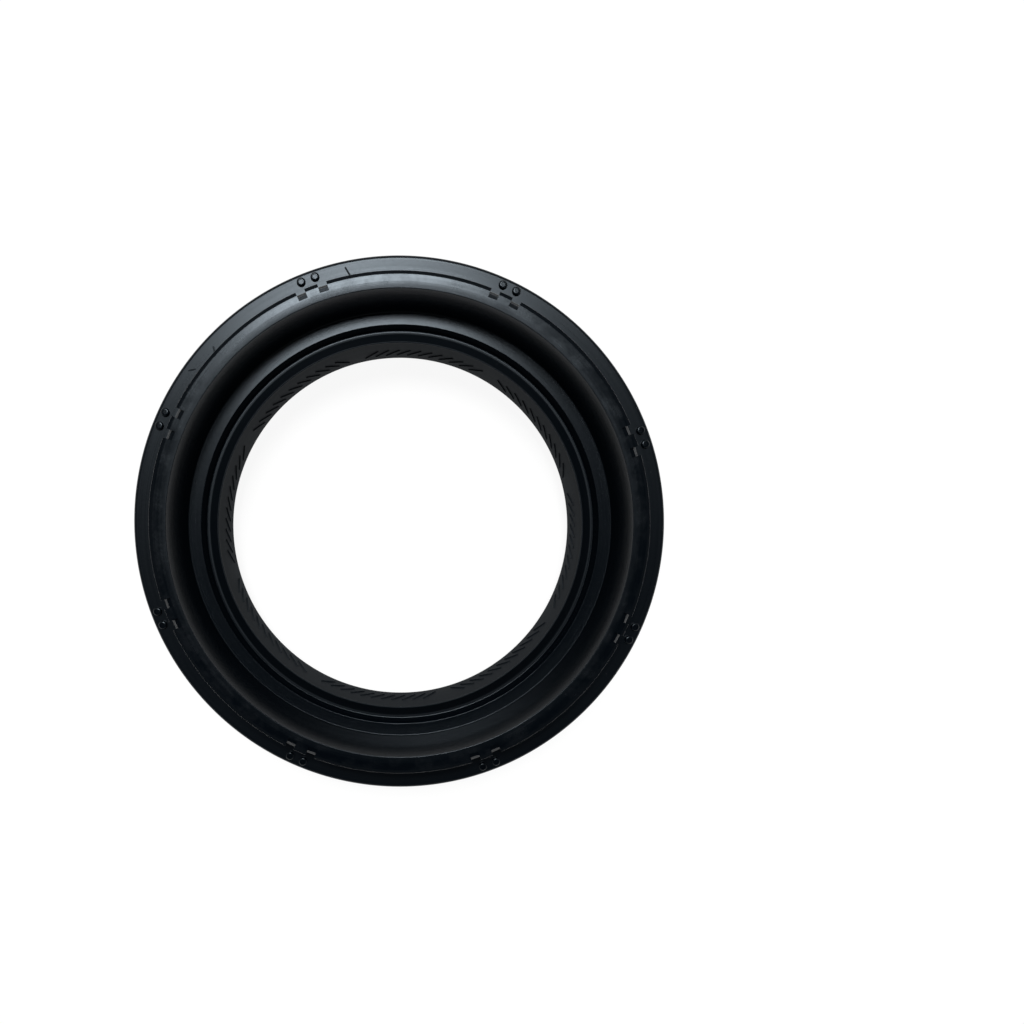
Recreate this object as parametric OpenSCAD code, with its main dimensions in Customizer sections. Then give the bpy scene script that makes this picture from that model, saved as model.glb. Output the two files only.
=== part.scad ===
/* [Fit] */
// Diameter of the shaft that the lip runs on
shaft_d = 50; // [48:0.5:51]
// Diameter of the housing bore that the seal is pressed into
housing_d = 74; // [73:0.5:78]
// Width of the body that sits in the housing
body_w = 11.5; // [11:0.25:13]
// How far the flared dust skirt stands out of the body
skirt_h = 7; // [4:0.5:10]

/* [Lips] */
// How much smaller the free lip is than the shaft, on the radius
lip_squeeze = 0.5; // [0.3:0.05:0.7]
// Height of the lip's contact band above the oil side face
lip_z = 4.5; // [4.2:0.1:5]
// Width of the lip's contact band
lip_band = 0.4; // [0.2:0.05:0.6]
// How much larger the dust lip is than the running lip, on the radius
dust_gap = 0.6; // [0.56:0.02:0.8]
// Lean of the running lip's air side flank from the axis
flank_angle = 25; // [22:1:28]
// How far a pumping rib stands out of the flank
rib_h = 0.12; // [0.08:0.01:0.16]
// Angle between a pumping rib and the lip's edge
rib_angle = 30; // [25:1:35]

/* [Skirt] */
// Wall thickness of the skirt
skirt_t = 1.8; // [1.2:0.1:2]
// Distance from the outside of the body to the skirt's root
skirt_inset = 6.2; // [6:0.1:6.6]
// Lean of the skirt from the axis
skirt_angle = 13; // [4:1:14]

/* [Rubber cover] */
// How much larger the rubber is than the housing, on the radius
housing_squeeze = 0.1; // [0.05:0.05:0.3]
// Radial size of the lead-in at the oil side
lead_r = 2.8; // [2:0.1:3]
// Height of the lead-in at the oil side
lead_h = 1.7; // [1.2:0.1:2.2]
// Height of the taper at the air side
taper_h = 1.8; // [1.2:0.1:2.2]
// Radial size of the taper at the air side
taper_r = 0.55; // [0.3:0.05:0.8]

/* [Steel case] */
// Thickness of the pressed steel case
case_t = 1.2; // [1:0.1:1.4]
// Rubber between the case and the outside of the body
cover_t = 2.1; // [1.8:0.1:2.4]
// Rubber on the inside of the case
lining_t = 0.5; // [0.3:0.1:0.7]

/* [Garter spring] */
// Outside diameter of the spring's coil
coil_d = 2; // [1.6:0.1:2]
// Distance from the running lip's edge to the middle of the coil
coil_out = 3; // [2.9:0.1:3.2]

/* [Marks] */
// Number of places around the seal that carry a pair of studs and slots
mark_n = 8; // [4:1:8]
// Angle of the first of these places
mark_angle = 20.5; // [0:0.5:44]
// Angle between the two studs of a pair
stud_step = 3.2; // [3:0.1:5]
// Diameter of a stud
stud_d = 1.15; // [0.8:0.05:1.2]
// Angle between the two slots of a pair
slot_step = 5.2; // [4.5:0.1:7]
// Width of a slot
slot_w = 1.2; // [0.8:0.1:1.6]
// Depth of a slot's step in the skirt's rim
slot_h = 0.3; // [0.2:0.05:0.5]
// How far down a slot runs on the outside of the skirt
slot_fall = 2; // [1.5:0.1:2.5]

/* [Hidden] */
$fn = 96;

// Driving radii
outer_r = housing_d / 2 + housing_squeeze;
lip_r = shaft_d / 2 - lip_squeeze;
dust_r = lip_r + dust_gap;
coil_r = lip_r + coil_out;
case_r = outer_r - cover_t;
lining_r = case_r - case_t - lining_t;

// Air side levels: the outer face, the floor inside the skirt and the steel under them
face_z = body_w;
floor_z = face_z - 0.2;
rim_z = face_z + skirt_h;
plate_z = face_z - 1.2;
under_z = plate_z - case_t - lining_t;

// Outside of the body
corner_r = 0.5;
taper_z = face_z - corner_r;
taper_end_r = outer_r - taper_r;

// Skirt
skirt_root_r = outer_r - skirt_inset;
root_fillet = 0.6;
rim_round_r = 0.5;
rim_round_h = 0.95;
rim_land = 0.86;
rim_bevel_r = 0.93;
rim_bevel_h = 0.08;
rim_edge = 0.12;
rim_r = skirt_root_r + (skirt_h - rim_round_h) * tan(skirt_angle);
rim_in_r = rim_r - rim_round_r - rim_land - rim_bevel_r;
cup_fillet = 0.4;
cup_r = skirt_root_r - skirt_t;

// Groove between the floor and the dust lip, with a flat bottom and a sloping wall
floor_edge = 0.2;
floor_r = lip_r + 2.87;
groove_lean = 20;
groove_round = 0.22;
groove_z = face_z - 1.6;
groove_out = [lip_r + 2.33, groove_z + groove_round];
groove_in = [lip_r + 2.03, groove_z + groove_round];

// Dust lip: a short wedge whose air side rises towards the shaft
dust_rise = 37;
dust_round = 0.16;
dust_in_lean = 22;
dust_foot = groove_in - groove_round * [sin(dust_rise), cos(dust_rise)];
dust_c_r = dust_r + dust_round;
dust_run = dust_foot[0] - dust_c_r - dust_round * sin(dust_rise);
dust_c = [dust_c_r, dust_foot[1] + dust_run * tan(dust_rise) - dust_round * cos(dust_rise)];

// Pocket between the two lips
pocket_round = 0.35;
band_top = lip_z + lip_band / 2;
band_low = lip_z - lip_band / 2;
pocket_z = face_z - 3.5;
flank_top = [lip_r + (pocket_z - band_top) * tan(flank_angle), pocket_z];
pocket_c = flank_top - pocket_round * [cos(flank_angle), -sin(flank_angle)];

// Lip head and spring groove
seat_gap = 0.02;
seat_round = coil_d / 2 + seat_gap;
coil_z = lip_z + 0.5;
mouth = 60;
head_z = lip_z - 2;
head_r = lip_r + 2;
horn_r = coil_r + 0.8;
horn_h = 0.9;
neck_round = 0.75;
neck_c = [coil_r + 0.5, coil_z + 2.4];
neck_low = 250;
neck_high = 120;

// Marks
stud_r = outer_r - 1.7;
stud_h = 0.3;
stud_ball = (stud_d * stud_d / 4 + stud_h * stud_h) / (2 * stud_h);
slot_start = 0.06;
slot_r = rim_r - rim_round_r - rim_land + slot_start;
slot_step_l = 0.6;
slot_slope = 0.08;

// Pumping ribs: groups of short ribs on the flank, leaning one way and the other by turns
rib_groups = 8;
rib_n = 11;
rib_pitch = 3.5;
rib_first = -8;
rib_w = 0.38;
rib_crest = 0.14;
rib_l = 2.4;
rib_sunk = 0.1;
rib_z = band_top + 0.9;
rib_r = lip_r + (rib_z - band_top) * tan(flank_angle);

// Small notches at the oil side where the case was held while the rubber was moulded
hold_n = 8;
hold_w = 1.6;
hold_l = 1.3;
hold_top = 1.5;

function arc(c, r, a0, a1, n = 8) =
    [for (i = [0:n]) let (a = a0 + (a1 - a0) * i / n) c + r * [cos(a), sin(a)]];

function oval(c, rx, ry, a0, a1, n = 8) =
    [for (i = [0:n]) let (a = a0 + (a1 - a0) * i / n) c + [rx * cos(a), ry * sin(a)]];

// Outside of the body, from the oil side face to the air side face
outside = concat(
    oval([outer_r - lead_r, lead_h], lead_r, lead_h, -90, 0, 12),
    [[outer_r, taper_z - taper_h]],
    arc([taper_end_r - corner_r, taper_z], corner_r, 0, 90)
);

// Skirt, from its outer root over the rim to the floor inside it
skirt = concat(
    arc([skirt_root_r + root_fillet, face_z + root_fillet], root_fillet, 270, 180 - skirt_angle),
    oval([rim_r - rim_round_r, rim_z - rim_round_h], rim_round_r, rim_round_h, 0, 90),
    [[rim_in_r + rim_bevel_r, rim_z]],
    arc([rim_in_r + rim_edge, rim_z - rim_bevel_h - rim_edge], rim_edge, 95, 180, 4),
    arc([cup_r - cup_fillet, floor_z + cup_fillet], cup_fillet, 0, -90)
);

// Floor edge, groove and dust lip
dust_side = concat(
    arc([floor_r + floor_edge, floor_z - floor_edge], floor_edge, 90, 180 - groove_lean, 5),
    arc(groove_out, groove_round, -groove_lean, -90, 3),
    arc(groove_in, groove_round, -90, -90 - dust_rise, 3),
    arc(dust_c, dust_round, 90 - dust_rise, 180 + dust_in_lean, 8),
    arc(pocket_c, pocket_round, dust_in_lean, -flank_angle, 6)
);

// Running lip, spring seat and neck
lip_side = concat(
    [[lip_r, band_top], [lip_r, band_low]],
    arc([head_r, head_z + 0.45], 0.45, 220, 270, 4),
    arc([horn_r - 0.35, head_z + 0.35], 0.35, 270, 360, 5),
    arc([horn_r - 0.2, coil_z - horn_h - 0.2], 0.2, 0, 90, 3),
    arc([coil_r, coil_z], seat_round, -mouth, mouth - 360, 24),
    arc([horn_r - 0.2, coil_z + horn_h + 0.2], 0.2, -90, 90, 6),
    arc(neck_c, neck_round, neck_low, neck_high, 10)
);

// Underside of the steel, lining and foot
lining_round = 0.6;
foot_edge = 0.3;
underside = concat(
    [[neck_c[0] + 0.6, under_z]],
    arc([lining_r - lining_round, under_z - lining_round], lining_round, 90, 0),
    arc([lining_r + foot_edge, foot_edge], foot_edge, 180, 270, 5)
);

// Pressed ring of L section: a wall along the outside and a plate under the air side face
case_bend = 2;
case_in_r = lip_r + 3.8;
case_end = 1.1;
case_section = concat(
    [[case_r - case_t, case_end], [case_r, case_end]],
    arc([case_r - case_bend, plate_z - case_bend], case_bend, 0, 90),
    [[case_in_r, plate_z], [case_in_r, plate_z - case_t]],
    arc([case_r - case_bend, plate_z - case_bend], case_bend - case_t, 90, 0)
);

module ring(section) {
    rotate_extrude($fn = 180) polygon(section);
}

// One copy of the children at each side of every mark place
module at_marks(step) {
    for (i = [0:mark_n - 1])
        for (side = [-1, 1])
            rotate([0, 0, mark_angle + i * 360 / mark_n + side * step / 2])
                children();
}

// Low rounded stud on the air side face
module stud() {
    translate([stud_r, 0, face_z + stud_h - stud_ball]) sphere(r = stud_ball, $fn = 48);
}

// Slot through the outer corner of the rim: a small step, then a steep fall outwards
module rim_slot() {
    over = 0.5;
    step_z = rim_z - slot_h;
    rotate([90, 0, 0])
        linear_extrude(height = slot_w, center = true)
            polygon([[slot_r, rim_z + over], [slot_r, step_z],
                [slot_r + slot_step_l, step_z - slot_slope],
                [rim_r + over, rim_z - slot_fall - over], [rim_r + over, rim_z + over]]);
}

// One pumping rib, laid on the running lip's flank
module rib(hand) {
    translate([rib_r, 0, rib_z])
        rotate([hand * (90 - rib_angle), flank_angle, 0])
            linear_extrude(height = rib_l, center = true)
                polygon([[rib_sunk, -rib_w / 2], [rib_sunk, rib_w / 2], [0, rib_w / 2],
                    [-rib_h, rib_crest / 2], [-rib_h, -rib_crest / 2], [0, -rib_w / 2]]);
}

module ribs() {
    for (group = [0:rib_groups - 1])
        for (i = [0:rib_n - 1])
            rotate([0, 0, rib_first + group * 360 / rib_groups + (i - (rib_n - 1) / 2) * rib_pitch])
                rib(group % 2 == 0 ? 1 : -1);
}

// Notch in the foot that bares the end of the case
module hold_notch() {
    below = 1;
    translate([lining_r - 0.5, -hold_w / 2, -below]) cube([hold_l, hold_w, below + hold_top]);
}

module steel_case() {
    color("slategray") ring(case_section);
}

module garter_spring() {
    color("silver")
        rotate_extrude($fn = 180) translate([coil_r, coil_z]) circle(d = coil_d, $fn = 48);
}

module rubber_body() {
    color([0.07, 0.07, 0.08])
        difference() {
            union() {
                ring(concat(outside, skirt, dust_side, lip_side, underside));
                at_marks(stud_step) stud();
                ribs();
            }
            ring(case_section);
            at_marks(slot_step) rim_slot();
            for (i = [0:hold_n - 1])
                rotate([0, 0, mark_angle + i * 360 / hold_n]) hold_notch();
        }
}

rubber_body();
steel_case();
garter_spring();
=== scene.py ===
"""Looks of the differential oil seal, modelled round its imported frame."""

import math

import bmesh
import bpy
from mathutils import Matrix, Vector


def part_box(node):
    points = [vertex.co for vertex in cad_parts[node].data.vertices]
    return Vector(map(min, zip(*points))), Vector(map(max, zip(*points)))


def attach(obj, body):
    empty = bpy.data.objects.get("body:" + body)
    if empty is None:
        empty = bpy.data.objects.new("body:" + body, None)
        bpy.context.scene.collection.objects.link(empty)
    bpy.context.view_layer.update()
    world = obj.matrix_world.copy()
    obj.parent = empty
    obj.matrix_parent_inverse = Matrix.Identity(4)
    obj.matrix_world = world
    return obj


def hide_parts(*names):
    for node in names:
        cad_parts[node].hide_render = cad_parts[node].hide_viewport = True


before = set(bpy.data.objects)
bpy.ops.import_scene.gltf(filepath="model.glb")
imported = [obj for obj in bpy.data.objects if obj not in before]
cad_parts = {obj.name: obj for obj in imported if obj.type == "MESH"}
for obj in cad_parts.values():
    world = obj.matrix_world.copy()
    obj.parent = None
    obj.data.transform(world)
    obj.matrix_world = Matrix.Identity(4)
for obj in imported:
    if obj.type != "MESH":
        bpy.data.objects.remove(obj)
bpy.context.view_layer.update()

bl_info = {
    "name": "Differential Oil Seal",
    "version": (1, 0, 0),
    "blender": (4, 5, 0),
    "location": "View3D > Sidebar > Oil Seal",
    "description": "Models a moulded shaft seal, its garter spring and a plain white studio",
    "category": "Add Mesh",
}

MM = 0.001
FULL_TURN = 2 * math.pi
MERGE_GAP = 0.002 * MM
RUBBER_LOW, RUBBER_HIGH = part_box("rubber_body")
SPRING_LOW, SPRING_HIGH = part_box("garter_spring")
COIL_RADIUS = (SPRING_HIGH.z - SPRING_LOW.z) / 2


# Settings

class SEAL_PG_rubber(bpy.types.PropertyGroup):
    """Sizes and colour of the moulded rubber"""

    outside_radius: bpy.props.FloatProperty(
        name="Outside radius", description="Radius of the rubber that fills the housing bore",
        default=RUBBER_HIGH.x, unit="LENGTH", precision=5)
    height: bpy.props.FloatProperty(
        name="Overall height", description="From the oil side face to the rim of the skirt",
        default=RUBBER_HIGH.z, unit="LENGTH", precision=5)
    body_height: bpy.props.FloatProperty(
        name="Body height", description="From the oil side face to the air side face",
        default=11.5 * MM, unit="LENGTH", precision=5)
    lip_radius: bpy.props.FloatProperty(
        name="Lip radius", description="Radius of the free running lip",
        default=24.5 * MM, unit="LENGTH", precision=5)
    segments: bpy.props.IntProperty(
        name="Segments", description="Steps in one turn of the ring",
        default=360, min=90, max=512)
    mark_count: bpy.props.IntProperty(
        name="Mark places", description="Places round the seal with two studs and two slots",
        default=8, min=1, max=8)
    mark_angle: bpy.props.FloatProperty(
        name="First mark", description="Angle of the first mark place",
        default=math.radians(20.5), subtype="ANGLE")
    stud_radius: bpy.props.FloatProperty(
        name="Stud radius", description="Radius of a stud on the air side face",
        default=0.6 * MM, unit="LENGTH", precision=5)
    stud_height: bpy.props.FloatProperty(
        name="Stud height", description="How far a stud stands out of the air side face",
        default=0.4 * MM, unit="LENGTH", precision=5)
    rib_height: bpy.props.FloatProperty(
        name="Rib height", description="How far a pumping rib stands out of the lip's flank",
        default=0.12 * MM, unit="LENGTH", precision=5)
    colour: bpy.props.FloatVectorProperty(
        name="Rubber", description="Colour of the clean rubber",
        default=(0.0006, 0.0016, 0.003), subtype="COLOR", min=0, max=1)
    bloom_colour: bpy.props.FloatVectorProperty(
        name="Bloom", description="Colour of the thin dusty bloom on the rubber",
        default=(0.06, 0.064, 0.07), subtype="COLOR", min=0, max=1)


class SEAL_PG_spring(bpy.types.PropertyGroup):
    """Sizes and colours of the steel pieces"""

    ring_radius: bpy.props.FloatProperty(
        name="Ring radius", description="Radius of the circle that the coil follows",
        default=SPRING_HIGH.x - COIL_RADIUS, unit="LENGTH", precision=5)
    coil_radius: bpy.props.FloatProperty(
        name="Coil radius", description="Outside radius of the wound coil",
        default=COIL_RADIUS, unit="LENGTH", precision=5)
    wire_radius: bpy.props.FloatProperty(
        name="Wire radius", description="Radius of the spring wire",
        default=0.175 * MM, unit="LENGTH", precision=5)
    turns: bpy.props.IntProperty(
        name="Turns", description="Turns of wire round the whole ring",
        default=468, min=50, max=600)
    wire_colour: bpy.props.FloatVectorProperty(
        name="Wire", description="Colour of the drawn wire",
        default=(0.52, 0.50, 0.47), subtype="COLOR", min=0, max=1)
    case_colour: bpy.props.FloatVectorProperty(
        name="Case", description="Colour of the phosphated case",
        default=(0.16, 0.16, 0.165), subtype="COLOR", min=0, max=1)


class SEAL_PG_stage(bpy.types.PropertyGroup):
    """Camera, light and table"""

    camera_height: bpy.props.FloatProperty(
        name="Camera height", description="Height of the camera over the table",
        default=116.5 * MM, unit="LENGTH", precision=4)
    camera_lens: bpy.props.FloatProperty(
        name="Lens", description="Focal length of the camera",
        default=26.77, subtype="DISTANCE_CAMERA")
    key_power: bpy.props.FloatProperty(
        name="Key light", description="Power of the soft box over the seal",
        default=7.0, unit="POWER")
    room_level: bpy.props.FloatProperty(
        name="Room light", description="Strength of the light from the room's pale walls",
        default=0.5, min=0, max=1, subtype="FACTOR")
    ceiling_level: bpy.props.FloatProperty(
        name="Ceiling light", description="Strength of the light from the dark ceiling",
        default=0.03, min=0, max=1, subtype="FACTOR")
    table_level: bpy.props.FloatProperty(
        name="Table light", description="Strength of the light from the pale table",
        default=0.2, min=0, max=1, subtype="FACTOR")


# Outline of the rubber

def arc(cx, cz, radius, start, end, steps=8):
    """Points of an arc in the section's plane, angles in degrees."""
    return oval(cx, cz, radius, radius, start, end, steps)


def oval(cx, cz, rx, rz, start, end, steps):
    """Points of part of an ellipse in the section's plane, angles in degrees."""
    points = []
    for i in range(steps + 1):
        angle = math.radians(start + (end - start) * i / steps)
        points.append((cx + rx * math.cos(angle), cz + rz * math.sin(angle)))
    return points


# Sizes of the rubber's section in millimetres and degrees. A pair is a run and a height, but
# GROOVE_FLAT is the two ends of the groove's floor, measured out from the lip. The rim, the cup,
# the floor's edge, the groove and the dust lip have finer edges than the frame's rubber has.
LEAD_IN = (2.8, 1.7)
TAPER = (0.55, 1.8)
CORNER = 0.5
SKIRT_INSET = 6.2
SKIRT_WALL = 1.8
SKIRT_LEAN = 13
ROOT_ROUND = 0.6
RIM_ROUND = (0.1, 0.83)
RIM_ROUND_END = 85
RIM_CHAMFER = (0.44, 0.12)
RIM_LAND = 0.82
RIM_BEVEL = (0.93, 0.045)
RIM_EDGE = 0.08
RIM_EDGE_START = 94
EDGE_SUPPORT = 0.03
FLOOR_DROP = 0.2
CUP_ROUND = 0.12
FLOOR_INSET = 2.87
FLOOR_EDGE = 0.08
GROOVE_DROP = 1.6
GROOVE_FLAT = (2.33, 2.03)
GROOVE_ROUND = 0.14
GROOVE_LEAN = 20
DUST_GAP = 0.6
DUST_RISE = 37
DUST_ROUND = 0.13
DUST_LEAN = 22
POCKET_DROP = 3.5
POCKET_ROUND = 0.35
FLANK_LEAN = 25
LIP_LEVEL = 4.5
LIP_BAND = 0.4
COIL_INSET = 3.0
COIL_LEVEL = 5.0
SEAT_ROUND = 1.02
SEAT_MOUTH = 60
HEAD_DROP = 2
TOE_INSET = 2
TOE_ROUND = 0.45
HEEL_ROUND = 0.35
HORN_REACH = 0.8
HORN_GAP = 1.1
HORN_ROUND = 0.2
NECK_MIDDLE = (0.5, 2.4)
NECK_ROUND = 0.75
NECK_TOP = 1.1
LINING_INSET = 3.8
LINING_ROUND = 0.6
FOOT_ROUND = 0.3
UNDER_DROP = 2.9


def rim_radius(sizes):
    """Largest radius of the skirt's rim in millimetres."""
    root = sizes.outside_radius / MM - SKIRT_INSET
    rise = (sizes.height - sizes.body_height) / MM - RIM_ROUND[1] - RIM_CHAMFER[1]
    return root + rise * math.tan(math.radians(SKIRT_LEAN))


def skirt_outline(sizes):
    """The skirt, from its outer root over the rim to the floor inside it."""
    face, rim = sizes.body_height / MM, sizes.height / MM
    root = sizes.outside_radius / MM - SKIRT_INSET
    rim_r = rim_radius(sizes)
    chamfer_r = rim_r - RIM_ROUND[0]
    land_r = chamfer_r - RIM_CHAMFER[0]
    bevel_r = land_r - RIM_LAND
    inner_r = bevel_r - RIM_BEVEL[0] + RIM_EDGE
    cup = root - SKIRT_WALL - CUP_ROUND
    points = arc(root + ROOT_ROUND, face + ROOT_ROUND, ROOT_ROUND, 270, 180 - SKIRT_LEAN, 10)
    points += oval(chamfer_r, rim - RIM_CHAMFER[1] - RIM_ROUND[1], *RIM_ROUND, 0,
                   RIM_ROUND_END, 10)
    fall = EDGE_SUPPORT * RIM_CHAMFER[1] / RIM_CHAMFER[0]
    points += [(land_r + EDGE_SUPPORT, rim - fall), (land_r, rim), (land_r - EDGE_SUPPORT, rim)]
    points += [(bevel_r + EDGE_SUPPORT, rim), (bevel_r, rim)]
    slope = RIM_BEVEL[1] / RIM_BEVEL[0]
    for run in (EDGE_SUPPORT, RIM_BEVEL[0] - RIM_EDGE - EDGE_SUPPORT):
        points += [(bevel_r - run, rim - slope * run)]
    points += arc(inner_r, rim - RIM_BEVEL[1] - RIM_EDGE, RIM_EDGE, RIM_EDGE_START, 180, 6)
    return points + arc(cup, face - FLOOR_DROP + CUP_ROUND, CUP_ROUND, 0, -90)


def dust_outline(sizes):
    """The floor's edge, the groove, the dust lip and the pocket behind it."""
    face, lip = sizes.body_height / MM, sizes.lip_radius / MM
    rise = math.radians(DUST_RISE)
    groove_z = face - GROOVE_DROP + GROOVE_ROUND
    groove_out, groove_in = (lip + part for part in GROOVE_FLAT)
    foot = (groove_in - GROOVE_ROUND * math.sin(rise), groove_z - GROOVE_ROUND * math.cos(rise))
    tip_r = lip + DUST_GAP + DUST_ROUND
    run = foot[0] - tip_r - DUST_ROUND * math.sin(rise)
    tip_z = foot[1] + run * math.tan(rise) - DUST_ROUND * math.cos(rise)
    flank = math.radians(FLANK_LEAN)
    pocket_z = face - POCKET_DROP
    pocket_r = lip + (pocket_z - LIP_LEVEL - LIP_BAND / 2) * math.tan(flank)
    points = arc(lip + FLOOR_INSET + FLOOR_EDGE, face - FLOOR_DROP - FLOOR_EDGE, FLOOR_EDGE,
                 90, 180 - GROOVE_LEAN)
    points += arc(groove_out, groove_z, GROOVE_ROUND, -GROOVE_LEAN, -90, 4)
    points += arc(groove_in, groove_z, GROOVE_ROUND, -90, -90 - DUST_RISE, 4)
    points += arc(tip_r, tip_z, DUST_ROUND, 90 - DUST_RISE, 180 + DUST_LEAN, 12)
    return points + arc(pocket_r - POCKET_ROUND * math.cos(flank),
                        pocket_z + POCKET_ROUND * math.sin(flank), POCKET_ROUND,
                        DUST_LEAN, -FLANK_LEAN)


def lip_outline(sizes):
    """The running lip with the seat of the spring, and the neck that carries it."""
    lip = sizes.lip_radius / MM
    coil_r = lip + COIL_INSET
    horn = coil_r + HORN_REACH
    head_z = LIP_LEVEL - HEAD_DROP
    neck_r, neck_z = coil_r + NECK_MIDDLE[0], COIL_LEVEL + NECK_MIDDLE[1]
    points = [(lip, LIP_LEVEL + LIP_BAND / 2), (lip, LIP_LEVEL - LIP_BAND / 2)]
    points += arc(lip + TOE_INSET, head_z + TOE_ROUND, TOE_ROUND, 220, 270, 5)
    points += arc(horn - HEEL_ROUND, head_z + HEEL_ROUND, HEEL_ROUND, 270, 360, 6)
    points += arc(horn - HORN_ROUND, COIL_LEVEL - HORN_GAP, HORN_ROUND, 0, 90, 4)
    points += arc(coil_r, COIL_LEVEL, SEAT_ROUND, -SEAT_MOUTH, SEAT_MOUTH - 360, 24)
    points += arc(horn - HORN_ROUND, COIL_LEVEL + HORN_GAP, HORN_ROUND, -90, 90)
    return points + arc(neck_r, neck_z, NECK_ROUND, 250, 120, 12)


def rubber_outline(sizes):
    """The section of the rubber as (radius, height) points in metres, anticlockwise."""
    outer, face = sizes.outside_radius / MM, sizes.body_height / MM
    points = oval(outer - LEAD_IN[0], LEAD_IN[1], *LEAD_IN, -90, 0, 16)
    points += [(outer, face - CORNER - TAPER[1])]
    points += arc(outer - TAPER[0] - CORNER, face - CORNER, CORNER, 0, 90, 10)
    points += skirt_outline(sizes) + dust_outline(sizes) + lip_outline(sizes)
    under_z, lining = face - UNDER_DROP, outer - LINING_INSET
    points += [(sizes.lip_radius / MM + COIL_INSET + NECK_TOP, under_z)]
    points += arc(lining - LINING_ROUND, under_z - LINING_ROUND, LINING_ROUND, 90, 0)
    points += arc(lining + FOOT_ROUND, FOOT_ROUND, FOOT_ROUND, 180, 270, 6)
    return [(r * MM, z * MM) for r, z in points]


# Modelling helpers

def only(piece):
    """Selects one piece and nothing else."""
    if bpy.context.object and bpy.context.object.mode != "OBJECT":
        bpy.ops.object.mode_set(mode="OBJECT")
    bpy.ops.object.select_all(action="DESELECT")
    piece.select_set(True)
    bpy.context.view_layer.objects.active = piece


def start(name):
    """Names the primitive that was just added and opens it in edit mode."""
    piece = bpy.context.object
    piece.name = piece.data.name = name
    only(piece)
    bpy.ops.object.mode_set(mode="EDIT")
    bpy.ops.mesh.select_mode(type="VERT")
    bpy.ops.mesh.select_all(action="SELECT")
    return piece


def place(piece):
    """Leaves edit mode and puts the object's place into its mesh."""
    only(piece)
    bpy.ops.object.transform_apply(location=True, rotation=True, scale=True)
    return piece


def pick(piece, test):
    """Selects the faces of the piece in edit mode that pass the test."""
    bpy.ops.mesh.select_mode(type="FACE")
    bpy.ops.mesh.select_all(action="DESELECT")
    mesh = bmesh.from_edit_mesh(piece.data)
    for face in mesh.faces:
        if test(face):
            face.select_set(True)
    mesh.select_flush_mode()
    bmesh.update_edit_mesh(piece.data)


def draw_outline(name, points):
    """Draws a closed outline in the plane of X and Z, one vertex after the other."""
    bpy.ops.object.select_all(action="DESELECT")
    bpy.ops.mesh.primitive_plane_add(size=MM)
    piece = start(name)
    bpy.ops.mesh.merge(type="CENTER")
    bpy.ops.transform.translate(value=(points[0][0], 0, points[0][1]))
    for before, after in zip(points, points[1:] + points[:1]):
        step = (after[0] - before[0], 0, after[1] - before[1])
        bpy.ops.mesh.extrude_region_move(TRANSFORM_OT_translate={"value": step})
    bpy.ops.mesh.select_all(action="SELECT")
    bpy.ops.mesh.remove_doubles(threshold=MERGE_GAP)
    return piece


def repeat_round(piece, angles):
    """Copies a piece to each of the angles round the axis and joins the copies."""
    only(piece)
    copies = [piece]
    for _ in angles[1:]:
        only(piece)
        bpy.ops.object.duplicate(linked=False)
        copies.append(bpy.context.object)
    bpy.ops.object.select_all(action="DESELECT")
    for copy, angle in zip(copies, angles):
        copy.rotation_euler[2] = angle
        copy.select_set(True)
    bpy.context.view_layer.objects.active = piece
    bpy.ops.object.transform_apply(location=False, rotation=True, scale=False)
    bpy.ops.object.join()
    return piece


def join(pieces):
    """Joins pieces into the first of them."""
    bpy.ops.object.select_all(action="DESELECT")
    for piece in pieces:
        piece.select_set(True)
    bpy.context.view_layer.objects.active = pieces[0]
    bpy.ops.object.join()
    return pieces[0]


def combine(piece, tool, operation):
    """Adds a tool to the piece or cuts it away, and removes the tool."""
    only(piece)
    change = piece.modifiers.new(name=tool.name, type="BOOLEAN")
    change.operation = operation
    change.object = tool
    change.solver = "EXACT"
    bpy.ops.object.modifier_apply(modifier=change.name)
    bpy.data.objects.remove(tool)


def smooth(piece, angle):
    """Smooth shading with the sharp edges kept, and flats that stay flat."""
    only(piece)
    bpy.ops.object.shade_smooth_by_angle(angle=math.radians(angle))
    weigh = piece.modifiers.new(name="flats", type="WEIGHTED_NORMAL")
    weigh.keep_sharp = True
    bpy.ops.object.modifier_apply(modifier=weigh.name)


def mark_angles(sizes, offsets):
    """Angles of all marks, from the offsets in degrees within one mark place."""
    step = FULL_TURN / sizes.mark_count
    return [sizes.mark_angle + step * i + math.radians(offset)
            for i in range(sizes.mark_count) for offset in offsets]


def need(done, what):
    """Stops the script when a step has made nothing."""
    if not done:
        raise RuntimeError(what)


# Shader helpers

def new_group(name, inputs, outputs):
    """A shader node group with named sockets."""
    tree = bpy.data.node_groups.new(name, "ShaderNodeTree")
    for label, kind, default in inputs:
        socket = tree.interface.new_socket(
            name=label, in_out="INPUT", socket_type="NodeSocket" + kind)
        if default is not None:
            socket.default_value = default
    for label, kind in outputs:
        tree.interface.new_socket(
            name=label, in_out="OUTPUT", socket_type="NodeSocket" + kind)
    return tree, tree.nodes.new("NodeGroupInput"), tree.nodes.new("NodeGroupOutput")


def node(tree, kind, inputs=None, **values):
    """Adds a node, sets its values and feeds its inputs with sockets or constants."""
    made = tree.nodes.new("ShaderNode" + kind)
    for key, value in values.items():
        setattr(made, key, value)
    for key, value in (inputs or {}).items():
        if isinstance(value, bpy.types.NodeSocket):
            tree.links.new(value, made.inputs[key])
        else:
            made.inputs[key].default_value = value
    return made


def maths(tree, operation, *values, clamp=False):
    """A Math node with its inputs in order."""
    return node(tree, "Math", dict(enumerate(values)),
                operation=operation, use_clamp=clamp).outputs[0]


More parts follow.
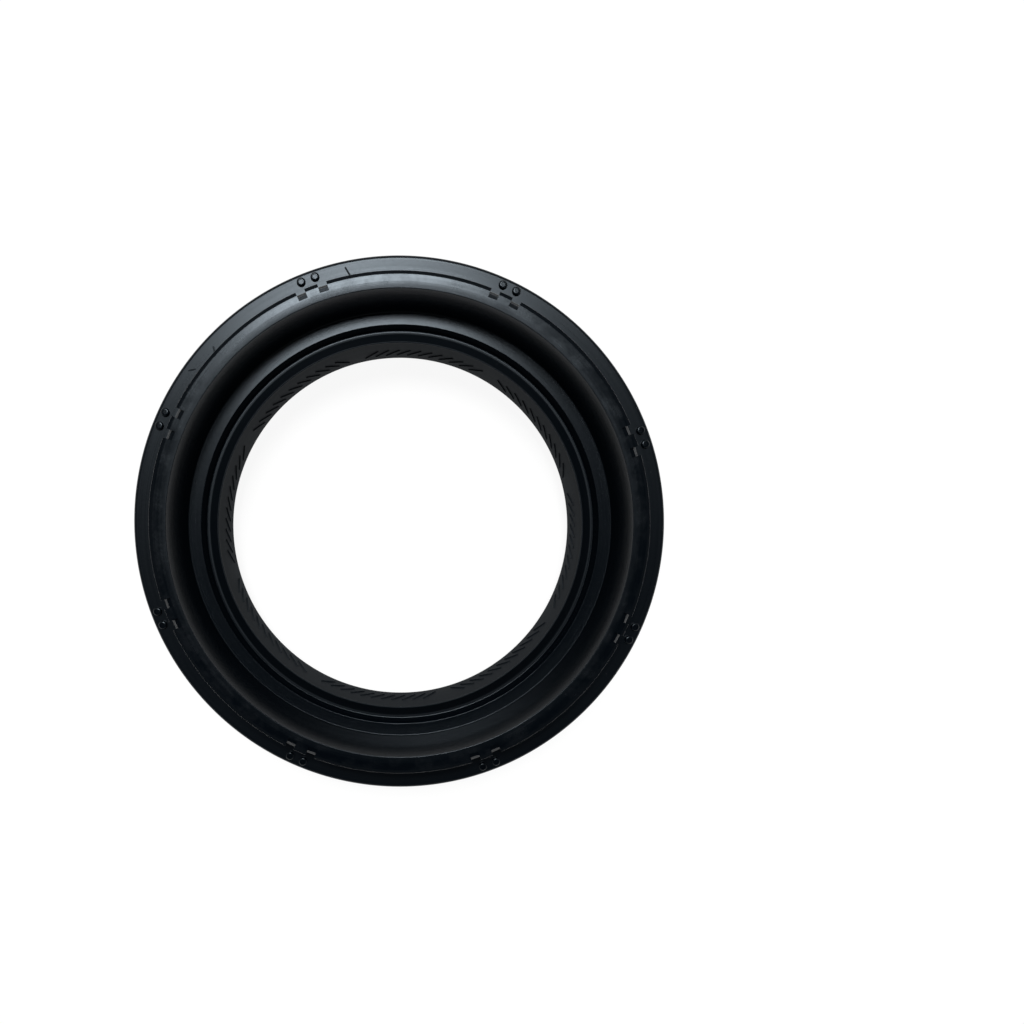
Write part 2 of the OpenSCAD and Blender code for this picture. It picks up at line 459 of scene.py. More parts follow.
def vector_maths(tree, operation, *values, output=0):
    """A Vector Math node with its inputs in order."""
    return node(tree, "VectorMath", dict(enumerate(values)), operation=operation).outputs[output]


def spread(tree, value, low, high, to_low=0.0, to_high=1.0):
    """Maps a value from one range to another, smooth at both ends, and clamps it."""
    return node(tree, "MapRange", {"Value": value, "From Min": low, "From Max": high,
                                   "To Min": to_low, "To Max": to_high},
                interpolation_type="SMOOTHSTEP").outputs[0]


def noise(tree, place_socket, scale, detail, roughness):
    """Fractal noise between 0 and 1."""
    return node(tree, "TexNoise", {"Vector": place_socket, "Scale": scale, "Detail": detail,
                                   "Roughness": roughness}).outputs["Fac"]


def mirrored_rays(tree, path):
    """1 for the rays by which gloss and glass show what is round them."""
    return maths(tree, "MAXIMUM", path["Is Glossy Ray"], path["Is Transmission Ray"])


def ring_group():
    """Where a point lies on the ring: its radius, its height and its direction."""
    tree, inp, out = new_group("ring place", [("Place", "Vector", None)],
                               [("Radius", "Float"), ("Height", "Float"), ("Direction", "Vector")])
    parts = node(tree, "SeparateXYZ", {0: inp.outputs["Place"]})
    flat = node(tree, "CombineXYZ", {0: parts.outputs[0], 1: parts.outputs[1]}).outputs[0]
    tree.links.new(vector_maths(tree, "LENGTH", flat, output=1), out.inputs["Radius"])
    tree.links.new(parts.outputs[2], out.inputs["Height"])
    tree.links.new(vector_maths(tree, "NORMALIZE", flat), out.inputs["Direction"])
    return tree


# Frequency of the broad bands and of the fine grain against that of their pattern, the range in
# which a cell's random value gives it a speck, and the solid middle of specks and scratches
BROAD_SHARE = 0.22
FINE_SHARE = 6.0
SPECK_SHARE = (0.72, 0.78)
SPECK_CORE = 0.5
SCRATCH_CORE = 0.3


def turned_group(ring):
    """Fine lines that run round the ring, as the turned mould leaves them."""
    tree, inp, out = new_group(
        "turned lines",
        [("Place", "Vector", None), ("Lines", "Float", 5000.0), ("Waver", "Float", 3.0)],
        [("Lines", "Float"), ("Broad", "Float")])
    where = node(tree, "Group", {"Place": inp.outputs["Place"]}, node_tree=ring)
    across = maths(tree, "ADD", where.outputs["Radius"], where.outputs["Height"])
    around = vector_maths(tree, "SCALE", where.outputs["Direction"])
    tree.links.new(inp.outputs["Waver"], around.node.inputs["Scale"])
    for share, label in ((1.0, "Lines"), (BROAD_SHARE, "Broad")):
        high = maths(tree, "MULTIPLY", across, maths(tree, "MULTIPLY", inp.outputs["Lines"], share))
        lift = node(tree, "CombineXYZ", {2: high}).outputs[0]
        point = vector_maths(tree, "ADD", around, lift)
        tree.links.new(noise(tree, point, scale=1.0, detail=3.0, roughness=0.6),
                       out.inputs[label])
    return tree


def mottle_group():
    """Soft uneven patches, as where a bloom has been rubbed off."""
    tree, inp, out = new_group(
        "mottle",
        [("Place", "Vector", None), ("Size", "Float", 500.0), ("Cover", "Float", 0.5),
         ("Softness", "Float", 0.15)],
        [("Mask", "Float"), ("Fine", "Float")])
    large = noise(tree, inp.outputs["Place"], inp.outputs["Size"], detail=4.0,
                  roughness=0.65)
    low = maths(tree, "SUBTRACT", inp.outputs["Cover"], inp.outputs["Softness"])
    high = maths(tree, "ADD", inp.outputs["Cover"], inp.outputs["Softness"])
    tree.links.new(spread(tree, large, low, high), out.inputs["Mask"])
    fine = noise(tree, inp.outputs["Place"],
                 maths(tree, "MULTIPLY", inp.outputs["Size"], FINE_SHARE), detail=2.0,
                 roughness=0.7)
    tree.links.new(fine, out.inputs["Fine"])
    return tree


def speck_group():
    """Scattered grains of dust."""
    tree, inp, out = new_group(
        "dust specks",
        [("Place", "Vector", None), ("Grains", "Float", 700.0), ("Radius", "Float", 0.08)],
        [("Mask", "Float")])
    cells = node(tree, "TexVoronoi", {"Vector": inp.outputs["Place"],
                                      "Scale": inp.outputs["Grains"], "Randomness": 1.0})
    near = spread(tree, cells.outputs["Distance"], inp.outputs["Radius"],
                  maths(tree, "MULTIPLY", inp.outputs["Radius"], SPECK_CORE))
    some = spread(tree, node(tree, "SeparateColor", {0: cells.outputs["Color"]}).outputs[0],
                  *SPECK_SHARE)
    tree.links.new(maths(tree, "MULTIPLY", near, some), out.inputs["Mask"])
    return tree


def band_group():
    """A mask that is 1 between two values and soft at both ends."""
    tree, inp, out = new_group(
        "band",
        [("Value", "Float", 0.0), ("From", "Float", 0.0), ("To", "Float", 1.0),
         ("Softness", "Float", 0.1 * MM)],
        [("Mask", "Float")])
    soft = inp.outputs["Softness"]
    rise = spread(tree, inp.outputs["Value"],
                  maths(tree, "SUBTRACT", inp.outputs["From"], soft),
                  maths(tree, "ADD", inp.outputs["From"], soft))
    fall = spread(tree, inp.outputs["Value"],
                  maths(tree, "SUBTRACT", inp.outputs["To"], soft),
                  maths(tree, "ADD", inp.outputs["To"], soft), 1.0, 0.0)
    tree.links.new(maths(tree, "MULTIPLY", rise, fall), out.inputs["Mask"])
    return tree


def scratch_group():
    """A short straight scratch between two points."""
    tree, inp, out = new_group(
        "scratch",
        [("Place", "Vector", None), ("Start", "Vector", None), ("End", "Vector", None),
         ("Width", "Float", 0.1 * MM)],
        [("Mask", "Float")])
    along = vector_maths(tree, "SUBTRACT", inp.outputs["End"], inp.outputs["Start"])
    to_point = vector_maths(tree, "SUBTRACT", inp.outputs["Place"], inp.outputs["Start"])
    share = maths(tree, "DIVIDE", vector_maths(tree, "DOT_PRODUCT", to_point, along, output=1),
                  vector_maths(tree, "DOT_PRODUCT", along, along, output=1), clamp=True)
    nearest = vector_maths(tree, "SCALE", along)
    tree.links.new(share, nearest.node.inputs["Scale"])
    gap = vector_maths(tree, "LENGTH", vector_maths(tree, "SUBTRACT", to_point, nearest), output=1)
    core = maths(tree, "MULTIPLY", inp.outputs["Width"], SCRATCH_CORE)
    tree.links.new(spread(tree, gap, inp.outputs["Width"], core), out.inputs["Mask"])
    return tree


def new_material(name):
    """A material with an empty node tree, its shader and the object's own coordinates."""
    material = bpy.data.materials.new(name)
    material.use_nodes = True
    tree = material.node_tree
    tree.nodes.clear()
    surface = node(tree, "OutputMaterial")
    shader = node(tree, "BsdfPrincipled")
    tree.links.new(shader.outputs[0], surface.inputs["Surface"])
    return material, tree, shader, node(tree, "TexCoord").outputs["Object"]


def mix_colour(tree, factor, first, second):
    """Mixes two plain colours, which are the Mix node's inputs 6 and 7 and its output 2."""
    return node(tree, "Mix", {"Factor": factor, 6: (*first, 1.0), 7: (*second, 1.0)},
                data_type="RGBA").outputs[2]


def add_up(tree, terms):
    """The sum of (socket, factor) terms."""
    total = 0.0
    for socket, factor in terms:
        total = maths(tree, "MULTIPLY_ADD", socket, factor, total)
    return total


def bump(tree, shader, relief, strength, distance):
    """Gives a shader the fine relief of its surface."""
    made = node(tree, "Bump", {"Strength": strength, "Distance": distance, "Height": relief})
    tree.links.new(made.outputs[0], shader.inputs["Normal"])


# Short scratches on the air side face: angle in degrees, radius and length in mm, lean in degrees
SCRATCHES = ((101.7, 35.0, 1.1, 20), (136.5, 34.6, 0.9, -35), (143.0, 35.2, 0.8, 50))
SCRATCH_WIDTH = 0.12 * MM

# Zones of the rubber's finish in mm. FACE_HEIGHTS and each FOOT are over the face, LAND_DEPTHS
# and each TOP are under the rim, and SLOT_WALL is in from the skirt's outer wall. The last line
# is how soft the ends of a zone are.
LAND_DEPTHS = (-1, 0.03)
FACE_HEIGHTS = (-0.05, 0.05)
FACE_RADII = (31.4, 37.2)
SKIRT_FOOT, SKIRT_TOP = 0.3, 0.5
SKIRT_RADII = (30.5, 33)
CUP_FOOT, CUP_TOP = -0.1, 0.2
CUP_RADII = (27, 30.2)
LIP_RADII = (24, 26.7)
SLOT_FOOT, SLOT_TOP = 3, 0.42
SLOT_WALL = (0.06, 0.8)
CRISP, SOFT, WIDE = 0.02, 0.05, 0.3

# Patterns of the finishes, and what each adds to the rubber's bloom, roughness and relief
RUBBER_LINES = {"Lines": 6500.0, "Waver": 1.2}
RUBBER_PATCHES = {"Size": 420.0, "Cover": 0.52, "Softness": 0.12}
RUBBER_SPECKS = {"Grains": 900.0, "Radius": 0.09}
WIRE_FILM = {"Size": 300.0, "Cover": 0.5, "Softness": 0.2}
CASE_GRAIN = {"Size": 900.0, "Cover": 0.5, "Softness": 0.2}
BLOOM = {"land patches": 0.03, "face bands": 0.02, "specks": 0.25}
ROUGHNESS = {"lines": 0.10, "broad": 0.10, "fine": 0.06, "land patches": 0.06, "land": -0.04,
             "face": 0.05, "skirt": -0.04, "cup": -0.02, "lips": 0.3, "slots": 0.45,
             "scratches": 0.3}
RELIEF = {"lines": 0.5, "broad": 0.5, "fine": 0.35, "skirt lines": 1.2, "scratches": -6.0}
LEAST_ROUGHNESS = 0.12
GLOSS_LEVEL = 0.22
GLOSS_TINT = (0.78, 0.9, 1.0, 1.0)


def rubber_zones(tree, sizes, groups, radius, height):
    """Masks that are each 1 on one zone of the rubber."""
    face, rim = sizes.body_height, sizes.height
    lean = math.tan(math.radians(SKIRT_LEAN))
    side = rim - (RIM_ROUND[1] + RIM_CHAMFER[1]) * MM
    wall = maths(tree, "MULTIPLY_ADD", height, lean, rim_radius(sizes) * MM - side * lean)
    depth = maths(tree, "SUBTRACT", wall, radius)

    def band(value, low, high, soft=SOFT):
        return node(tree, "Group", {"Value": value, "From": low, "To": high,
                                    "Softness": soft * MM}, node_tree=groups["band"]).outputs[0]

    def between(value, limits, soft=SOFT):
        return band(value, limits[0] * MM, limits[1] * MM, soft)

    def layer(foot, top, soft=SOFT):
        return band(height, face + foot * MM, rim - top * MM, soft)

    def both(first, second):
        return maths(tree, "MULTIPLY", first, second)

    on_face = band(height, *(face + part * MM for part in FACE_HEIGHTS), CRISP)
    return {
        "land": band(height, rim - LAND_DEPTHS[1] * MM, rim - LAND_DEPTHS[0] * MM, CRISP),
        "face": both(on_face, between(radius, FACE_RADII)),
        "skirt": both(layer(SKIRT_FOOT, SKIRT_TOP), between(radius, SKIRT_RADII, WIDE)),
        "cup": both(layer(CUP_FOOT, CUP_TOP), between(radius, CUP_RADII)),
        "lips": between(radius, LIP_RADII),
        "slots": both(between(depth, SLOT_WALL, CRISP), layer(SLOT_FOOT, SLOT_TOP, CRISP)),
    }


def scratch_mask(tree, sizes, groups, at):
    """All the scratches on the face in one mask."""
    scratches = 0.0
    for angle, middle, length, lean in SCRATCHES:
        turn = math.radians(angle)
        tilt = math.radians(angle + lean)
        ends = [(middle * MM * math.cos(turn) + side * length * MM / 2 * math.cos(tilt),
                 middle * MM * math.sin(turn) + side * length * MM / 2 * math.sin(tilt),
                 sizes.body_height) for side in (-1, 1)]
        mask = node(tree, "Group", {"Place": at, "Start": ends[0], "End": ends[1],
                                    "Width": SCRATCH_WIDTH}, node_tree=groups["scratch"])
        scratches = maths(tree, "MAXIMUM", mask.outputs["Mask"], scratches)
    return scratches


def rubber_effects(tree, sizes, groups, at):
    """Every zone and pattern of the rubber's finish by its name."""
    where = node(tree, "Group", {"Place": at}, node_tree=groups["ring"])
    effects = rubber_zones(tree, sizes, groups, where.outputs["Radius"], where.outputs["Height"])
    turned = node(tree, "Group", {"Place": at, **RUBBER_LINES}, node_tree=groups["turned"])
    patches = node(tree, "Group", {"Place": at, **RUBBER_PATCHES}, node_tree=groups["mottle"])
    specks = node(tree, "Group", {"Place": at, **RUBBER_SPECKS}, node_tree=groups["speck"])
    effects["lines"], effects["broad"] = turned.outputs["Lines"], turned.outputs["Broad"]
    effects["fine"], effects["specks"] = patches.outputs["Fine"], specks.outputs["Mask"]
    effects["scratches"] = scratch_mask(tree, sizes, groups, at)
    for name, first, second in (("land patches", patches.outputs["Mask"], effects["land"]),
                                ("face bands", effects["broad"], effects["face"]),
                                ("skirt lines", effects["lines"], effects["skirt"])):
        effects[name] = maths(tree, "MULTIPLY", first, second)
    return effects


def rubber_material(sizes, groups):
    """Moulded rubber, satin black, with turned lines, a faint bloom and dust."""
    material, tree, shader, at = new_material("moulded_rubber")
    effects = rubber_effects(tree, sizes, groups, at)
    bloom, roughness, relief = (
        add_up(tree, [(effects[name], amount) for name, amount in amounts.items()])
        for amounts in (BLOOM, ROUGHNESS, RELIEF))
    colour = mix_colour(tree, maths(tree, "MINIMUM", bloom, 1.0),
                        tuple(sizes.colour), tuple(sizes.bloom_colour))
    tree.links.new(colour, shader.inputs["Base Color"])
    tree.links.new(maths(tree, "ADD", roughness, LEAST_ROUGHNESS), shader.inputs["Roughness"])
    shader.inputs["Specular IOR Level"].default_value = GLOSS_LEVEL
    shader.inputs["Specular Tint"].default_value = GLOSS_TINT
    bump(tree, shader, relief, strength=1.0, distance=0.006 * MM)
    return material


def wire_material(colours, groups):
    """Drawn steel wire with a thin uneven film of oil."""
    material, tree, shader, at = new_material("spring_wire")
    film = node(tree, "Group", {"Place": at, **WIRE_FILM}, node_tree=groups["mottle"]).outputs
    bare_roughness, film_roughness, fine_roughness, film_shade = 0.18, 0.15, 0.1, 0.6
    wire = tuple(colours.wire_colour)
    dull = tuple(part * film_shade for part in wire)
    tree.links.new(mix_colour(tree, film["Mask"], wire, dull), shader.inputs["Base Color"])
    rough = add_up(tree, ((film["Mask"], film_roughness), (film["Fine"], fine_roughness)))
    tree.links.new(maths(tree, "ADD", rough, bare_roughness), shader.inputs["Roughness"])
    shader.inputs["Metallic"].default_value = 1.0
    bump(tree, shader, film["Fine"], strength=0.6, distance=0.003 * MM)
    return material


def case_material(colours, groups):
    """Phosphated sheet steel, dull and faintly grainy."""
    material, tree, shader, at = new_material("phosphated_case")
    grain = node(tree, "Group", {"Place": at, **CASE_GRAIN}, node_tree=groups["mottle"]).outputs
    least_roughness, grain_roughness, worn_shade = 0.4, 0.2, 2.2
    base = tuple(colours.case_colour)
    worn = tuple(part * worn_shade for part in base)
    tree.links.new(mix_colour(tree, grain["Mask"], base, worn), shader.inputs["Base Color"])
    tree.links.new(maths(tree, "MULTIPLY_ADD", grain["Fine"], grain_roughness, least_roughness),
                   shader.inputs["Roughness"])
    shader.inputs["Metallic"].default_value = 0.85
    bump(tree, shader, grain["Fine"], strength=0.5, distance=0.01 * MM)
    return material


def all_groups():
    """The shared effects, each built once."""
    ring = ring_group()
    return {"ring": ring, "turned": turned_group(ring), "mottle": mottle_group(),
            "speck": speck_group(), "band": band_group(), "scratch": scratch_group()}


# Operators

class SEAL_OT_mould_rubber(bpy.types.Operator):
    """Spin the rubber's section into a ring, with its studs, slots and notches"""

    bl_idname = "seal.mould_rubber"
    bl_label = "Mould Rubber"

    LEAST_FACES = 10000
    STUD_INSET = 1.7 * MM
    STUD_FOOT = 0.5 * MM
    STUD_SIDES = 32
    STUD_BEVEL = 0.26 * MM
    STUD_DISH = ((0.06 * MM, 0), (0.05 * MM, -0.07 * MM), (0.10 * MM, 0), (0.03 * MM, 0.05 * MM))
    STUD_TURN = 1.6
    SLOT_EDGE = 0.06 * MM
    SLOT_STEP = 0.6 * MM
    SLOT_REACH = 0.5 * MM
    SLOT_DEPTHS = (0.3 * MM, 0.38 * MM, 2.5 * MM)
    SLOT_WIDTH = 1.2 * MM
    SLOT_TURN = 2.6
    NOTCH_INSET = 4.3 * MM
    NOTCH_SIZE = (1.3 * MM, 1.6 * MM, 2.5 * MM)
    NOTCH_LEVEL = 0.25 * MM
    NOTCH_TAPER = (0.94, 0.88, 1.0)

    def execute(self, context):
        sizes = context.scene.seal_rubber
        ring = draw_outline("moulded_seal", rubber_outline(sizes))
        bpy.ops.mesh.spin(steps=sizes.segments, angle=FULL_TURN, center=(0, 0, 0), axis=(0, 0, 1))
        bpy.ops.mesh.select_all(action="SELECT")
        bpy.ops.mesh.remove_doubles(threshold=MERGE_GAP)
        bpy.ops.mesh.normals_make_consistent(inside=False)
        only(ring)
        need(len(ring.data.polygons) > self.LEAST_FACES, "the rubber's section wasn't spun")
        combine(ring, self.studs(sizes), "UNION")
        combine(ring, self.slots(sizes), "DIFFERENCE")
        combine(ring, self.notches(sizes), "DIFFERENCE")
        smooth(ring, angle=32)
        return {"FINISHED"}

    def studs(self, sizes):
        """Round studs with a dished top and a small nub in it."""
        top = sizes.body_height + sizes.stud_height
        high = sizes.stud_height + self.STUD_FOOT
        reach = sizes.outside_radius - self.STUD_INSET
        bpy.ops.object.select_all(action="DESELECT")
        bpy.ops.mesh.primitive_cylinder_add(
            vertices=self.STUD_SIDES, radius=sizes.stud_radius, depth=high,
            location=(reach, 0, top - high / 2))
        place(bpy.context.object)
        stud = start("studs")
        pick(stud, lambda face: face.normal.z > 0.9)
        bpy.ops.mesh.bevel(offset=self.STUD_BEVEL, segments=5, affect="EDGES")
        pick(stud, lambda face: face.normal.z > 0.999)
        for thickness, depth in self.STUD_DISH:
            bpy.ops.mesh.inset(thickness=thickness, depth=depth)
        return repeat_round(place(stud), mark_angles(sizes, (-self.STUD_TURN, self.STUD_TURN)))

    def slots(self, sizes):
        """Slots through the rim's outer corner: a small flat step and a steep fall outwards."""
        rim, rim_r = sizes.height, rim_radius(sizes) * MM
        start_r = rim_r - (RIM_ROUND[0] + RIM_CHAMFER[0] + RIM_LAND) * MM + self.SLOT_EDGE
        step_r, end_r, over = start_r + self.SLOT_STEP, rim_r + self.SLOT_REACH, self.SLOT_REACH
        wall_z, step_z, end_z = (rim - depth for depth in self.SLOT_DEPTHS)
        slot = draw_outline("slots", [(start_r, rim + over), (start_r, wall_z), (step_r, step_z),
                                      (end_r, end_z), (end_r, rim + over)])
        bpy.ops.mesh.edge_face_add()
        bpy.ops.transform.translate(value=(0, -self.SLOT_WIDTH / 2, 0))
        bpy.ops.mesh.extrude_region_move(
            TRANSFORM_OT_translate={"value": (0, self.SLOT_WIDTH, 0)})
        bpy.ops.mesh.select_all(action="SELECT")
        bpy.ops.mesh.normals_make_consistent(inside=False)
        return repeat_round(place(slot), mark_angles(sizes, (-self.SLOT_TURN, self.SLOT_TURN)))

    def notches(self, sizes):
        """Notches in the foot where the case was held in the mould."""
        middle = sizes.outside_radius - self.NOTCH_INSET + self.NOTCH_SIZE[0] / 2
        bpy.ops.object.select_all(action="DESELECT")
        bpy.ops.mesh.primitive_cube_add(size=1, location=(middle, 0, self.NOTCH_LEVEL))
        bpy.context.object.scale = self.NOTCH_SIZE
        place(bpy.context.object)
        notch = start("notches")
        pick(notch, lambda face: face.normal.z > 0.9)
        bpy.ops.transform.resize(value=self.NOTCH_TAPER)
        return repeat_round(place(notch), mark_angles(sizes, (0,)))


class SEAL_OT_form_ribs(bpy.types.Operator):
    """Form the pumping ribs on the air side flank of the running lip"""

    bl_idname = "seal.form_ribs"
    bl_label = "Form Ribs"

    GROUPS = 8
    RIBS = 11
    PITCH = 3.5
    FIRST = -8.0
    ANGLE = 30.0
    RISE = 0.9 * MM
    SUNK = 0.08 * MM
    WIDTH = 0.38 * MM
    LENGTH = 2.4 * MM
    CREST = (1.0, 0.37, 0.9)
    BEVEL = 0.03 * MM
    LEAST_FACES = 6

    def execute(self, context):
        sizes = context.scene.seal_rubber
        ribs = []
        for hand in (1, -1):
            rib = self.one_rib(sizes, hand)
            middle = (self.RIBS - 1) / 2
            start_group = 0 if hand > 0 else 1
            angles = [math.radians(self.FIRST + 360 / self.GROUPS * group
                                   + (number - middle) * self.PITCH)
                      for group in range(start_group, self.GROUPS, 2)
                      for number in range(self.RIBS)]
            ribs.append(repeat_round(rib, angles))
        ribs = join(ribs)
        ribs.name = ribs.data.name = "pumping_ribs"
        least = self.LEAST_FACES * self.GROUPS * self.RIBS
        need(len(ribs.data.polygons) >= least, "no ribs were made")
        smooth(ribs, angle=30)
        return {"FINISHED"}

    def one_rib(self, sizes, hand):
        """A low rib with sloping ends, laid on the flank at a lean."""
        height = sizes.rib_height
        bpy.ops.object.select_all(action="DESELECT")
        bpy.ops.mesh.primitive_cube_add(size=1)
        rib = start("rib")
        bpy.ops.transform.resize(value=(height + self.SUNK, self.WIDTH, self.LENGTH))
        bpy.ops.transform.translate(value=((self.SUNK - height) / 2, 0, 0))
        pick(rib, lambda face: face.normal.x < -0.9)
        bpy.ops.transform.resize(value=self.CREST)
        pick(rib, lambda face: face.normal.x < 0.9)
        bpy.ops.mesh.bevel(offset=self.BEVEL, segments=2, affect="EDGES")
        only(rib)
        flank = math.radians(FLANK_LEAN)
        rib.rotation_euler = (hand * math.radians(90 - self.ANGLE), flank, 0)
        level = (LIP_LEVEL + LIP_BAND / 2) * MM + self.RISE
        rib.location = (sizes.lip_radius + self.RISE * math.tan(flank), 0, level)
        return place(rib)


class SEAL_OT_wind_spring(bpy.types.Operator):
    """Wind the garter spring from wire and bend it into a ring"""

    bl_idname = "seal.wind_spring"
    bl_label = "Wind Spring"

    WIRE_SIDES = 6
    TURN_STEPS = 14
    SEAM_GAP = 0.004 * MM
    LARGEST_ERROR = 0.5 * MM

    def execute(self, context):
        sizes = context.scene.seal_spring
        bpy.ops.object.select_all(action="DESELECT")
        bpy.ops.mesh.primitive_circle_add(
            vertices=self.WIRE_SIDES, radius=sizes.wire_radius, rotation=(0, math.radians(90), 0),
            location=(0, 0, sizes.coil_radius - sizes.wire_radius))
        place(bpy.context.object)
        wire = start("wound_spring")
        bpy.ops.transform.rotate(value=math.radians(90), orient_axis="Z",
                                 center_override=(0, 0, 0))
        only(wire)
        coil = wire.modifiers.new(name="coil", type="SCREW")
        coil.axis = "X"
        coil.angle = FULL_TURN
        coil.screw_offset = FULL_TURN * sizes.ring_radius / sizes.turns
        coil.iterations = sizes.turns
        coil.steps = coil.render_steps = self.TURN_STEPS
        coil.use_merge_vertices = False
        bpy.ops.object.modifier_apply(modifier=coil.name)
        bend = wire.modifiers.new(name="ring", type="SIMPLE_DEFORM")
        bend.deform_method = "BEND"
        bend.deform_axis = "Z"
        bend.angle = FULL_TURN
        bpy.ops.object.modifier_apply(modifier=bend.name)
        bpy.ops.object.mode_set(mode="EDIT")
        bpy.ops.mesh.select_all(action="SELECT")
        bpy.ops.mesh.remove_doubles(threshold=self.SEAM_GAP)
        bpy.ops.mesh.normals_make_consistent(inside=False)
        only(wire)
        self.centre(wire)
        smooth(wire, angle=60)
        return {"FINISHED"}

    def centre(self, wire):
        """Moves the bent spring to the CAD spring's place."""
        corners = [[f(vertex.co[i] for vertex in wire.data.vertices) for f in (min, max)]
                   for i in range(3)]
        target = (SPRING_LOW + SPRING_HIGH) / 2
        wire.location = [target[i] - sum(corners[i]) / 2 for i in range(3)]
        place(wire)
        width = corners[0][1] - corners[0][0]
        need(abs(width - (SPRING_HIGH.x - SPRING_LOW.x)) < self.LARGEST_ERROR,
             f"the spring was bent to {width / MM:.2f} mm")


class SEAL_OT_finish_pieces(bpy.types.Operator):
    """Give every piece its material and tie it to the frame"""

    bl_idname = "seal.finish_pieces"
    bl_label = "Finish Pieces"

    def execute(self, context):
        groups = all_groups()
        rubber = rubber_material(context.scene.seal_rubber, groups)
        wire = wire_material(context.scene.seal_spring, groups)
        case = case_material(context.scene.seal_spring, groups)
        seal = bpy.data.objects["moulded_seal"]
        ribs = bpy.data.objects["pumping_ribs"]
        spring = bpy.data.objects["wound_spring"]
        for piece, material, slot in ((seal, rubber, "rubber"), (ribs, rubber, "rubber"),
                                      (spring, wire, "spring_steel")):
            piece.data.materials.clear()
            piece.data.materials.append(material)
            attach(piece, "root")
        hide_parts("rubber_body")
        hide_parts("garter_spring")
        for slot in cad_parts["steel_case"].material_slots:
            slot.material = case
        return {"FINISHED"}


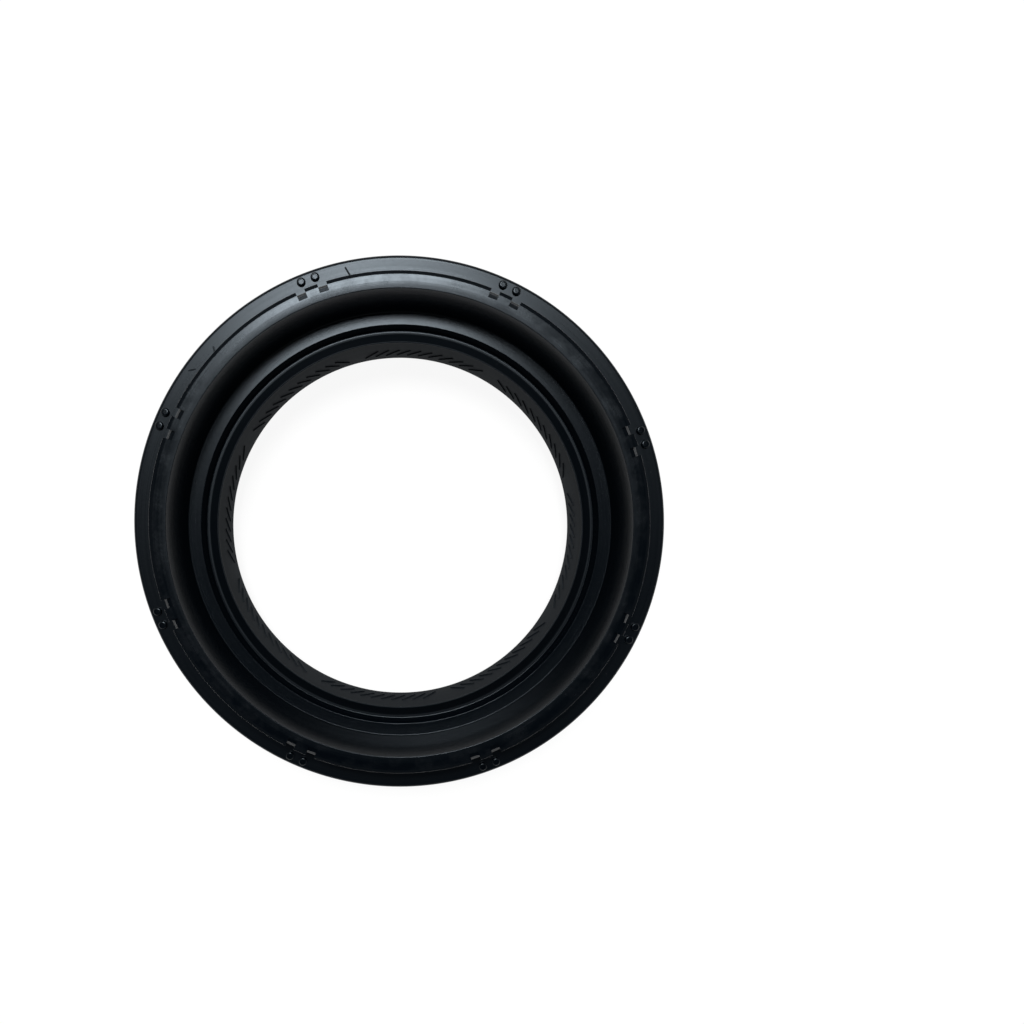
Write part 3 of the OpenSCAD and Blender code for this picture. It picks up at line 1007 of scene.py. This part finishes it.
class SEAL_OT_set_stage(bpy.types.Operator):
    """Set the white table, the soft light and the camera"""

    bl_idname = "seal.set_stage"
    bl_label = "Set Stage"

    CAMERA_TILT = (-4.23, -1.16)
    CAMERA_SHIFT = (0.0933, 0.0705)
    KEY_FROM = (-0.058, 0.334, 0.941)
    KEY_DISTANCE = 0.9
    KEY_SIZE = 0.28
    SENSOR_WIDTH = 36
    NEAREST = 0.005
    TABLE_SIZE = 4
    TABLE_LEVEL = -0.02 * MM
    TABLE_WHITE = 0.92
    TABLE_SHADE = 0.1
    CEILING_HEIGHT = (0.85, 0.3)
    TABLE_DEPTH = (-0.6, -0.2)
    BACKDROP_HEIGHT = (0.3, 0.0)

    def execute(self, context):
        stage = context.scene.seal_stage
        self.table()
        self.room(context.scene, stage)
        bpy.ops.object.light_add(
            type="AREA", location=[part * self.KEY_DISTANCE for part in self.KEY_FROM])
        key = bpy.context.object
        key.name = "soft_box"
        key.data.shape = "DISK"
        key.data.size = self.KEY_SIZE
        key.data.energy = stage.key_power
        key.rotation_euler = (-key.location).to_track_quat("-Z", "Y").to_euler()

        bpy.ops.object.camera_add(
            location=(0, 0, stage.camera_height),
            rotation=[math.radians(part) for part in (*self.CAMERA_TILT, 0)])
        camera = bpy.context.object
        camera.name = "camera"
        camera.data.lens = stage.camera_lens
        camera.data.sensor_width = self.SENSOR_WIDTH
        camera.data.shift_x, camera.data.shift_y = self.CAMERA_SHIFT
        camera.data.clip_start = self.NEAREST
        context.scene.camera = camera
        context.scene.view_settings.view_transform = "Standard"
        return {"FINISHED"}

    def table(self):
        """A wide table, white to the camera and in the gloss, with the seal's soft shadow.

        All other rays pass it, and so do those from below, so the oil side is lit and seen.
        """
        bpy.ops.object.select_all(action="DESELECT")
        bpy.ops.mesh.primitive_plane_add(
            size=self.TABLE_SIZE, location=(0, 0, self.TABLE_LEVEL))
        table = bpy.context.object
        table.name = table.data.name = "table"
        material = bpy.data.materials.new("white_table")
        material.use_nodes = True
        tree = material.node_tree
        tree.nodes.clear()
        surface = node(tree, "OutputMaterial")
        white, shade = ((level, level, level, 1.0) for level in (self.TABLE_WHITE, self.TABLE_SHADE))
        glow = node(tree, "Emission", {"Color": white, "Strength": 1.0})
        shaded = node(tree, "BsdfDiffuse", {"Color": shade})
        lit = node(tree, "AddShader", {0: glow.outputs[0], 1: shaded.outputs[0]})
        clear = node(tree, "BsdfTransparent")
        path = node(tree, "LightPath").outputs
        white_to = maths(tree, "MAXIMUM", path["Is Camera Ray"], mirrored_rays(tree, path))
        seen = maths(tree, "SUBTRACT", white_to,
                     node(tree, "NewGeometry").outputs["Backfacing"], clamp=True)
        top = node(tree, "MixShader", {0: seen, 1: clear.outputs[0], 2: lit.outputs[0]})
        tree.links.new(top.outputs[0], surface.inputs["Surface"])
        table.data.materials.append(material)

    def room(self, scene, stage):
        """Pale walls and a dark ceiling, with a backdrop white to the camera and in the gloss."""
        world = bpy.data.worlds.new("room")
        world.use_nodes = True
        tree = world.node_tree
        tree.nodes.clear()
        surface = node(tree, "OutputWorld")
        path = node(tree, "LightPath").outputs
        height = node(tree, "SeparateXYZ", {0: node(tree, "TexCoord").outputs["Generated"]})
        above = spread(tree, height.outputs["Z"], *self.CEILING_HEIGHT, stage.ceiling_level,
                       stage.room_level)
        below = spread(tree, height.outputs["Z"], *self.TABLE_DEPTH, stage.table_level,
                       stage.room_level)
        room = maths(tree, "MINIMUM", above, below)
        backdrop = maths(tree, "MULTIPLY", mirrored_rays(tree, path),
                         spread(tree, height.outputs["Z"], *self.BACKDROP_HEIGHT))
        white = maths(tree, "MAXIMUM", path["Is Camera Ray"], backdrop)
        strength = maths(tree, "MAXIMUM", room, white)
        sky = node(tree, "Background", {"Color": (1, 1, 1, 1), "Strength": strength})
        tree.links.new(sky.outputs[0], surface.inputs["Surface"])
        scene.world = world


class SEAL_PT_panel(bpy.types.Panel):
    """Lists the seal's settings and steps"""

    bl_idname = "SEAL_PT_panel"
    bl_label = "Differential Oil Seal"
    bl_space_type = "VIEW_3D"
    bl_region_type = "UI"
    bl_category = "Oil Seal"

    def draw(self, context):
        for group in (context.scene.seal_rubber, context.scene.seal_spring,
                      context.scene.seal_stage):
            box = self.layout.box()
            for name in group.__annotations__:
                box.prop(group, name)
        for step in STEPS:
            self.layout.operator(step.bl_idname)


STEPS = (SEAL_OT_mould_rubber, SEAL_OT_form_ribs, SEAL_OT_wind_spring, SEAL_OT_finish_pieces,
         SEAL_OT_set_stage)
GROUPS = {"seal_rubber": SEAL_PG_rubber, "seal_spring": SEAL_PG_spring,
          "seal_stage": SEAL_PG_stage}


def register():
    """Registers the classes and hangs the settings on the scene."""
    for cls in (*GROUPS.values(), *STEPS, SEAL_PT_panel):
        bpy.utils.register_class(cls)
    for name, cls in GROUPS.items():
        setattr(bpy.types.Scene, name, bpy.props.PointerProperty(type=cls))


def unregister():
    """Takes the settings and the classes away again."""
    for name in GROUPS:
        delattr(bpy.types.Scene, name)
    for cls in reversed((*GROUPS.values(), *STEPS, SEAL_PT_panel)):
        bpy.utils.unregister_class(cls)


def main():
    register()
    bpy.ops.object.select_all(action="DESELECT")
    bpy.ops.seal.mould_rubber()
    bpy.ops.seal.form_ribs()
    bpy.ops.seal.wind_spring()
    bpy.ops.seal.finish_pieces()
    bpy.ops.seal.set_stage()


if __name__ == "__main__":
    main()
